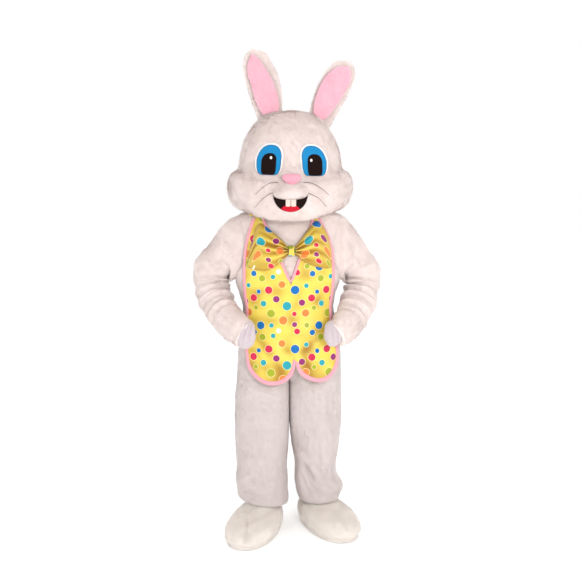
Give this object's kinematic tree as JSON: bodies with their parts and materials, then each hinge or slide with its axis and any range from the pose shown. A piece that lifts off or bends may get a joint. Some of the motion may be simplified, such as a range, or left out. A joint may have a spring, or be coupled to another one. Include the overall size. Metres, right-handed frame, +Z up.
{
  "type": "rabbit mascot costume",
  "caption": "Full-body white plush rabbit mascot costume with an oversized head, upright ears, mitts, foot covers, a dotted satin vest and a big bow, worn with hands on hips.",
  "frame": {"origin": "between the wearer's shoulders, 1.30 m above the floor, where the wearer carries the suit", "axes": "+Z up, -Y the way the costume faces, +X its left arm, which is the viewer's right"},
  "size_m": [0.7924, 0.5603, 1.985],
  "materials": {
    "plush": "short white plush pile",
    "mitt_fleece": "smooth lilac-white fleece",
    "sole_cloth": "matt woven cloth",
    "pink_plush": "short pink plush",
    "dotted_satin": "yellow satin with scattered round dots",
    "pink_satin": "pink satin binding",
    "white_felt": "smooth felt",
    "blue_felt": "smooth felt",
    "black_felt": "smooth felt",
    "red_felt": "smooth felt",
    "whisker_cord": "thin dark monofilament"
  },
  "bodies": {
    "root": {"body_back_left": "plush", "body_back_right": "plush", "body_front": "plush", "bow_knot": "dotted_satin", "bow_loop_left": "dotted_satin", "bow_loop_right": "dotted_satin", "ear_left": "plush", "ear_lining_left": "pink_plush", "ear_lining_right": "pink_plush", "ear_right": "plush", "eye_blue_left": "blue_felt", "eye_blue_right": "blue_felt", "eye_light_left": "white_felt", "eye_light_right": "white_felt", "eye_white_left": "white_felt", "eye_white_right": "white_felt", "foot_cover_left": "plush", "foot_cover_right": "plush", "head_cheek_left": "plush", "head_cheek_right": "plush", "head_crown_back": "plush", "head_crown_front": "plush", "head_nape": "plush", "leg_left": "plush", "leg_right": "plush", "mitt_left": "mitt_fleece", "mitt_right": "mitt_fleece", "mouth": "black_felt", "muzzle": "plush", "nose": "pink_plush", "pupil_left": "black_felt", "pupil_right": "black_felt", "sleeve_left": "plush", "sleeve_right": "plush", "sole_left": "sole_cloth", "sole_right": "sole_cloth", "tongue": "red_felt", "tooth_left": "white_felt", "tooth_right": "white_felt", "vest_binding_edge": "pink_satin", "vest_binding_neck": "pink_satin", "vest_front": "dotted_satin", "vest_strap": "dotted_satin", "whisker_left_lower": "whisker_cord", "whisker_left_upper": "whisker_cord", "whisker_right_lower": "whisker_cord", "whisker_right_upper": "whisker_cord"}
  },
  "joints": []
}
